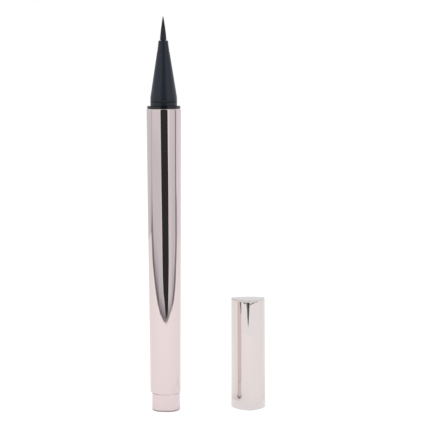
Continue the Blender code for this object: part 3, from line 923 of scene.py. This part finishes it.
@dataclass
class Studio:
    """The pale table, the glowing cards that paint reflections into the bright plastic, the lamps
    and the camera."""

    camera_at: tuple[float, float, float] = (15.0, -600.0, 123.0)
    looks_at: tuple[float, float, float] = (15.853, 0.0, 63.2)
    lens: float = 147.85
    roll_deg: float = 0.304
    cap_centre: tuple[float, float] = (27.75, 3.7)
    # How much brighter the table looks to the camera and in a mirror, and the painted shadow in the
    # mirror inside the ring at the pen's foot, where the table is made as dark as its contact
    # shadow.
    table_half: float = 3000.0
    table_lift: float = 0.45
    mirrored_lift: float = 0.2
    foot_shade: float = -0.1
    foot_ring: tuple[float, float] = (5.2, 7.0)
    # The plain light all round, what a mirror shows past the glowing cards, and the lamps: name,
    # place and power.
    ambient: float = 0.72
    past_reflection_cards: tuple[float, float, float, float] = (0.69, 0.7, 0.72, 1.0)
    lamp_size: float = 500.0
    lamp_aim: tuple[float, float, float] = (12.0, 0.0, 50.0)
    lamp_table: tuple[tuple[str, tuple[float, float, float], float], ...] = (
        ("KeyLamp", (-420.0, -380.0, 560.0), 1.6), ("FillLamp", (460.0, -300.0, 480.0), 1.0))
    # The glowing cards' white is slightly cool.
    cool: tuple[float, float, float] = (0.985, 1.0, 1.03)
    unlit: float = 0.034
    post_step: float = 1.5
    # The table's edge: azimuth from the camera's side, then distance from the pen.
    table_edge: Rows = (
        (-180, 600), (-150, 500), (-112, 520), (-110, 495), (-106.6, 427), (-104, 383),
        (-101, 362), (-89, 299), (-85, 281), (-81, 268), (-73.6, 246), (-67.4, 228),
        (-56.5, 208.5), (-48.8, 200), (-38, 195.5), (-25, 191.5), (-5, 190.5), (8, 192),
        (18, 196.5), (30, 203), (37, 208), (44, 212.5), (52, 217), (62, 222), (74, 231),
        (83, 247), (90, 268), (94, 284), (97, 302), (100, 323), (105, 346), (107.3, 369),
        (109, 394), (110.5, 428), (114, 496), (150, 500), (180, 600))
    # Upright glowing cards along that edge, which only mirrors see; they paint the reflections in
    # the bright plastic, darker towards the foot as painted shade: name, first and last azimuth,
    # then heights with the linear brightness there.
    wall_heights: tuple[float, ...] = (0.0, 3.0, 8.0, 15.0, 30.0, 60.0, 100.0, 600.0)
    reflection_cards: tuple[tuple[str, float, float, Rows], ...] = (
        ("LeftCard", -114.0, -60.0,
         ((0, 0.2), (4, 0.18), (5.5, 0.27), (8, 0.35), (11, 0.45), (15, 0.53), (20, 0.6),
          (26, 0.66), (40, 0.7), (70, 0.7), (87, 0.77))),
        ("LeftCardInner", -60.0, -32.0,
         ((0, 0.16), (1.5, 0.2), (2.5, 0.26), (3.5, 0.34), (5.5, 0.4), (7.3, 0.5), (9, 0.56),
          (12, 0.6), (18, 0.65), (26, 0.69), (70, 0.71), (87, 0.77))),
        ("LeftCardEdge", -32.0, 0.0,
         ((0, 0.16), (1.8, 0.2), (3.2, 0.34), (5, 0.42), (7.3, 0.52), (9.5, 0.64), (14, 0.76),
          (25, 0.82), (50, 0.84), (65, 0.76), (87, 0.78))),
        ("RightCardEdge", 0.0, 36.0,
         ((0, 0.25), (2, 0.35), (3.5, 0.47), (5, 0.6), (7, 0.7), (9, 0.74), (15, 0.8),
          (20, 0.86), (27, 0.93), (100, 0.93))),
        ("RightCardInner", 36.0, 60.0,
         ((0, 0.3), (2, 0.38), (3.5, 0.54), (5, 0.64), (7, 0.72), (9, 0.76), (26, 0.78),
          (60, 0.73), (87, 0.76))),
        ("RightCard", 60.0, 99.0,
         ((0, 0.4), (2.5, 0.38), (4, 0.46), (6, 0.54), (8, 0.57), (12, 0.6), (16, 0.63),
          (20, 0.67), (60, 0.7), (87, 0.73))),
        ("BackLeft", -180.0, -114.0, ((0, 0.7), (100, 0.73))),
        ("BackRight", 99.0, 180.0, ((0, 0.85), (100, 0.82))))
    # Slots between the glowing cards, painted dim and dark reflections: height, left azimuth and
    # right azimuth.
    opening: Rows = (
        (2.2, 2, 15), (4.3, -5.5, 23), (8.7, -12, 25.5), (13, -23.5, 28), (20, -27, 31),
        (26, -27.2, 32.5), (40, -25.3, 31.5), (57, -24.3, 30.6), (75, -22.3, 28),
        (100, -19.7, 25.7), (600, -19.7, 25.7))
    left_gap: Rows = (
        (0, -82, -66), (5, -92, -78), (8, -95, -84), (13, -102, -90), (21, -103.5, -95),
        (31, -103.5, -96), (42, -102, -94.5), (63, -98.5, -92), (84, -92, -85.5),
        (100, -88, -81), (600, -88, -81))
    right_gap: Rows = (
        (0, 66, 88), (4, 76, 93), (8.6, 83, 102), (15.7, 89, 106), (25, 91.5, 105.5),
        (36, 89.5, 103.5), (48, 87, 97), (68, 84.8, 92.4), (86.6, 82, 89.6), (100, 80, 87.5),
        (600, 80, 87.5))
    # The cap's own glowing cards, by azimuth about the cap, which paint the reflections on its
    # mirror.
    # The wedge between the two lower cards ends in a cross line under the top card, and has a dark
    # middle; the grey wedge and its middle are painted dark reflections.
    wedge: Rows = (
        (24.0, -17, -17), (26.4, -17, -17), (28.2, -24, -10), (30.7, -30, -4), (33.0, -35, 1),
        (34.5, -38, 7), (34.51, -50, 57), (34.8, -50, 57))
    wedge_core: Rows = (
        (26.9, -17, -17), (30.2, -24, -11), (33.5, -26, -8), (34.6, -28, -5), (35.2, -31, 0))
    wedge_grey: float = 0.36
    cap_top_rows: Rows = ((34.8, -90, 90), (46.0, -90, 90))
    cap_top_level: float = 0.93
    cap_sides: tuple[float, float] = (-58.0, 78.0)
    cap_reach: float = 20.0
    foot_card_radius: float = 18.0
    foot_card_level: float = 0.95

    def edge(self, azimuth: float) -> float:
        """Finds how far the white table reaches.

        Args:
            azimuth: Degrees from the camera's side, positive to the right.

        Returns:
            The distance from the pen in millimetres.
        """
        return between(self.table_edge, (azimuth + 180.0) % 360.0 - 180.0)

    @staticmethod
    def spot(azimuth: float, radius: float, z: float) -> Vector:
        """Places a point by azimuth, distance and height, in metres."""
        a = math.radians(azimuth)
        return Vector((radius * math.sin(a), -radius * math.cos(a), z)) * MM

    def camera(self) -> None:
        """Sets the camera at the photograph's viewing angle."""
        data = bpy.data.cameras.new("Camera")
        data.lens = self.lens
        data.sensor_width = 36.0
        data.clip_start, data.clip_end = 0.01, 10.0
        view = bpy.data.objects.new("Camera", data)
        bpy.context.scene.collection.objects.link(view)
        at, to = Vector(self.camera_at) * MM, Vector(self.looks_at) * MM
        forward = (to - at).normalized()
        right = forward.cross(Vector((0, 0, 1))).normalized()
        up = right.cross(forward)
        r = math.radians(self.roll_deg)
        right, up = right * math.cos(r) - up * math.sin(r), up * math.cos(r) + right * math.sin(r)
        turned = Matrix((right, up, -forward)).transposed().to_4x4()
        view.matrix_world = Matrix.Translation(at) @ turned
        bpy.context.scene.camera = view

    def staged(self, mesh: bmesh.types.BMesh, name: str, material: bpy.types.Material,
               mirrored_only: bool) -> bpy.types.Object:
        """Adds a floor or a glowing card of painted reflections, which isn't part of the object.

        Args:
            mesh: Its mesh in metres; it is freed.
            name: Its name.
            material: Its material.
            mirrored_only: True if only reflections show it.

        Returns:
            The new object.
        """
        data = bpy.data.meshes.new(name)
        mesh.to_mesh(data)
        mesh.free()
        data.materials.append(material)
        thing = bpy.data.objects.new(name, data)
        bpy.context.scene.collection.objects.link(thing)
        if mirrored_only:
            thing.visible_camera = False
            thing.visible_diffuse = False
            thing.visible_shadow = False
            thing.visible_transmission = False
            thing.visible_volume_scatter = False
        return thing

    def curtain(self, first: float, last: float, heights: Sequence[float], inset: float,
                lean: Callable[[float, float], float] | None = None) -> bmesh.types.BMesh:
        """Stands an upright wall along the table's edge.

        Args:
            first: The azimuth of its first post, in degrees.
            last: The azimuth of its last post.
            heights: The heights of its rows, from the foot up.
            inset: How far it stands inside the edge.
            lean: Gives a post's azimuth by height, or None for upright posts.

        Returns:
            The wall's mesh in metres.
        """
        mesh = bmesh.new()
        posts = max(8, round(abs(last - first) / self.post_step))
        rows = len(heights) - 1
        bmesh.ops.create_grid(mesh, x_segments=posts, y_segments=rows, size=0.5)
        for vert in mesh.verts:
            azimuth = first + (last - first) * (vert.co.x + 0.5)
            height = heights[round((vert.co.y + 0.5) * rows)]
            azimuth = lean(azimuth, height) if lean else azimuth
            vert.co = self.spot(azimuth, self.edge(azimuth) - inset, height)
        return mesh

    def build(self) -> None:
        """Builds the camera, the table, the reflectors, the lamps and the world."""
        self.camera()
        self.table()
        self.walls()
        self.gaps()
        self.cap_cards()
        self.foot_card()
        self.lamps()
        self.world()

    def table(self) -> None:
        """Lays the white table; it keeps the object's shadow."""
        white = bpy.data.materials.new("White laminate table")
        white.use_nodes = True
        tree = white.node_tree
        tree.nodes.clear()
        path = add_node(tree, "LightPath")
        body = add_node(tree, "BsdfDiffuse", {"Color": linear("E8E8E8")})
        # Only what looks at the table gets this; it throws no light on the object.
        seen = add_node(tree, "Math", {"operation": "MAXIMUM"},
                        {0: path.outputs["Is Camera Ray"], 1: path.outputs["Is Transmission Ray"]})
        plain = add_node(tree, "Math", {"operation": "MULTIPLY", 1: self.table_lift},
                         {0: seen.outputs[0]})
        place = add_node(tree, "TexCoord")
        reach = add_node(tree, "VectorMath", {"operation": "LENGTH"},
                         {0: place.outputs["Object"]})
        # Painted shadow: in mirrors the table darkens inside a ring round the pen's foot.
        near, far = self.foot_ring
        clear = add_node(tree, "MapRange", {"From Min": near * MM, "From Max": far * MM,
                                            "To Min": self.foot_shade,
                                            "To Max": self.mirrored_lift},
                         {"Value": reach.outputs["Value"]})
        mirrored = add_node(tree, "Math", {"operation": "MULTIPLY_ADD"},
                            {0: path.outputs["Is Glossy Ray"], 1: clear.outputs[0],
                             2: plain.outputs[0]})
        glow = add_node(tree, "Emission", {"Color": WHITE}, {"Strength": mirrored.outputs[0]})
        both = add_node(tree, "AddShader", links={0: body.outputs[0], 1: glow.outputs[0]})
        add_node(tree, "OutputMaterial", links={"Surface": both.outputs[0]})
        mesh = bmesh.new()
        bmesh.ops.create_grid(mesh, x_segments=1, y_segments=1, size=self.table_half * MM)
        self.staged(mesh, "Table", white, mirrored_only=False)

    def glowing(self, name: str, rows: Iterable[tuple[float, float]], reach: float = 100.0,
                one_sided: bool = False) -> bpy.types.Material:
        """Makes a glowing card whose brightness follows its height, a painted reflection.

        Args:
            name: The card's name.
            rows: Heights in millimetres with the linear brightness there.
            reach: The height at which the ramp ends.
            one_sided: True if only what is near its back shows it.

        Returns:
            The material.
        """
        made = bpy.data.materials.new(name + " glow")
        made.use_nodes = True
        tree = made.node_tree
        tree.nodes.clear()
        place = add_node(tree, "TexCoord")
        split = add_node(tree, "SeparateXYZ", links={0: place.outputs["Object"]})
        share = add_node(tree, "MapRange", {"From Min": 0.0, "From Max": reach * MM},
                         {"Value": split.outputs["Z"]})
        tone = add_node(tree, "ValToRGB", links={"Fac": share.outputs[0]})
        for i, (height, k) in enumerate(rows):
            if i < 2:
                stop = tone.color_ramp.elements[i]
                stop.position = height / reach
            else:
                stop = tone.color_ramp.elements.new(height / reach)
            stop.color = (*(k * share for share in self.cool), 1.0)
        glow = add_node(tree, "Emission", links={"Color": tone.outputs[0]})
        if one_sided:
            side = add_node(tree, "NewGeometry")
            path = add_node(tree, "LightPath")
            near = add_node(tree, "Math", {"operation": "LESS_THAN", 1: self.cap_reach * MM},
                            {0: path.outputs["Ray Length"]})
            shown = add_node(tree, "Math", {"operation": "MULTIPLY"},
                             {0: side.outputs["Backfacing"], 1: near.outputs[0]})
            clear = add_node(tree, "BsdfTransparent")
            glow = add_node(tree, "MixShader", links={0: shown.outputs[0], 1: clear.outputs[0],
                                                      2: glow.outputs[0]})
        add_node(tree, "OutputMaterial", links={"Surface": glow.outputs[0]})
        made.cycles.emission_sampling = "NONE"
        return made

    def walls(self) -> None:
        """Stands glowing cards round the table, which paint the reflections that the bright plastic
        shows.
        """
        for name, first, last, rows in self.reflection_cards:
            mesh = self.curtain(first, last, self.wall_heights, 0.0)
            self.staged(mesh, name, self.glowing(name, rows), True)

    def gaps(self) -> None:
        """Hangs the dim glowing slots between the cards: painted dark reflections that the bright
        plastic shows, some darker towards the foot.
        """
        for name, edges, inset, rows in (
                ("LeftGap", self.left_gap, 3.0,
                 ((0, 0.18), (15, 0.18), (25, 0.2), (31, 0.3), (38, 0.42), (48, 0.5),
                  (60, 0.55))),
                ("RightGap", self.right_gap, 3.0,
                 ((0, 0.2), (8, 0.2), (16, 0.27), (25, 0.32), (50, 0.32), (68, 0.22),
                  (87, 0.2))),
                ("DarkRoom", self.opening, 2.0, ((0, self.unlit), (100, self.unlit)))):
            levels = [row[0] for row in edges]
            mesh = self.curtain(0.0, 1.0, levels, inset, self.slot(edges))
            self.staged(mesh, name, self.glowing(name, rows), True)

    def cap_cards(self) -> None:
        """Bends small glowing cards round the cap's front, which only its own mirror shows; they
        paint its reflections, with a grey wedge and a dark middle.
        """
        left_side, right_side = self.cap_sides
        for name, radius, edges, level in (
                ("CapCardLeft", 14.0, [(z, left_side, left) for z, left, _ in self.wedge], 1.0),
                ("CapCardRight", 14.0, [(z, right, right_side) for z, _, right in self.wedge],
                 1.0),
                ("CapWedgeGrey", 15.0, self.wedge, self.wedge_grey),
                ("CapWedgeDark", 14.5, self.wedge_core, self.unlit),
                ("CapTopCard", 15.5, self.cap_top_rows, self.cap_top_level)):
            glow = self.glowing(name, ((0, level), (100, level)), one_sided=True)
            self.staged(self.cap_card(edges, radius), name, glow, True)

    def foot_card(self) -> None:
        """Lays a glowing white disc where the cap stands, which only mirrors see, because the pen
        mirrors plain table there: it paints lit table over the cap's shadow.
        """
        mesh = bmesh.new()
        place = Matrix.Translation(Vector((*self.cap_centre, 0.03)) * MM)
        bmesh.ops.create_circle(mesh, cap_ends=True, radius=self.foot_card_radius * MM,
                                segments=48, matrix=place)
        rows = ((0, self.foot_card_level), (100, self.foot_card_level))
        self.staged(mesh, "CapFootCard", self.glowing("CapFootCard", rows), True)

    @staticmethod
    def slot(edges: Sequence[Sequence[float]]) -> Callable[[float, float], float]:
        """Makes the lean of a slot whose sides follow a table.

        Args:
            edges: Rows of height, left azimuth and right azimuth.

        Returns:
            A function of the share across the slot and the height, which gives the azimuth.
        """
        def lean(share: float, height: float) -> float:
            """Gives the azimuth at a share across the slot and a height."""
            left, right = (between(edges, height, side) for side in (1, 2))
            return left + (right - left) * share
        return lean

    def cap_card(self, edges: Sequence[Sequence[float]], radius: float) -> bmesh.types.BMesh:
        """Bends a small card round the cap's front.

        Args:
            edges: Rows of height, left azimuth and right azimuth about the cap.
            radius: How far it stands from the cap's axis.

        Returns:
            The card's mesh in metres.
        """
        mesh = bmesh.new()
        rows = len(edges) - 1
        bmesh.ops.create_grid(mesh, x_segments=12, y_segments=rows, size=0.5)
        centre = Vector((*self.cap_centre, 0.0)) * MM
        for vert in mesh.verts:
            height, left, right = edges[round((vert.co.y + 0.5) * rows)]
            azimuth = left + (right - left) * (vert.co.x + 0.5)
            vert.co = centre + self.spot(azimuth, radius, height)
        return mesh

    def lamps(self) -> None:
        """Hangs two large soft lamps."""
        for name, at, power in self.lamp_table:
            data = bpy.data.lights.new(name, "AREA")
            data.shape = "SQUARE"
            data.size = self.lamp_size * MM
            data.energy = power
            lamp = bpy.data.objects.new(name, data)
            bpy.context.scene.collection.objects.link(lamp)
            spot = Vector(at) * MM
            aim = Vector(self.lamp_aim) * MM - spot
            lamp.matrix_world = (Matrix.Translation(spot)
                                 @ aim.to_track_quat("-Z", "Y").to_matrix().to_4x4())
            lamp.visible_glossy = False
            lamp.visible_camera = False

    def world(self) -> None:
        """Gives a white backdrop to what looks at it, and a plain level of light."""
        world = bpy.data.worlds.new("White studio")
        bpy.context.scene.world = world
        world.use_nodes = True
        tree = world.node_tree
        tree.nodes.clear()
        path = add_node(tree, "LightPath")
        ambient = add_node(tree, "Background", {"Color": WHITE, "Strength": self.ambient})
        mirrored = add_node(tree, "Background", {"Color": self.past_reflection_cards, "Strength": 1.0})
        white = add_node(tree, "Background", {"Color": WHITE, "Strength": 1.0})
        seen = add_node(tree, "Math", {"operation": "MAXIMUM"},
                        {0: path.outputs["Is Camera Ray"], 1: path.outputs["Is Transmission Ray"]})
        first = add_node(tree, "MixShader", links={0: path.outputs["Is Glossy Ray"],
                                                   1: ambient.outputs[0], 2: mirrored.outputs[0]})
        second = add_node(tree, "MixShader", links={0: seen.outputs[0], 1: first.outputs[0],
                                                    2: white.outputs[0]})
        add_node(tree, "OutputWorld", links={"Surface": second.outputs[0]})


def main() -> None:
    """Builds the studio and the pen."""
    logging.basicConfig(level=logging.INFO, format="%(name)s: %(message)s")
    bpy.context.scene.view_settings.view_transform = "Standard"
    Studio().build()
    for part in (Barrel(), Front(), Cap(), SealedInside()):
        LOG.info("building %s", type(part).__name__)
        part.build()


if __name__ == "__main__":
    main()
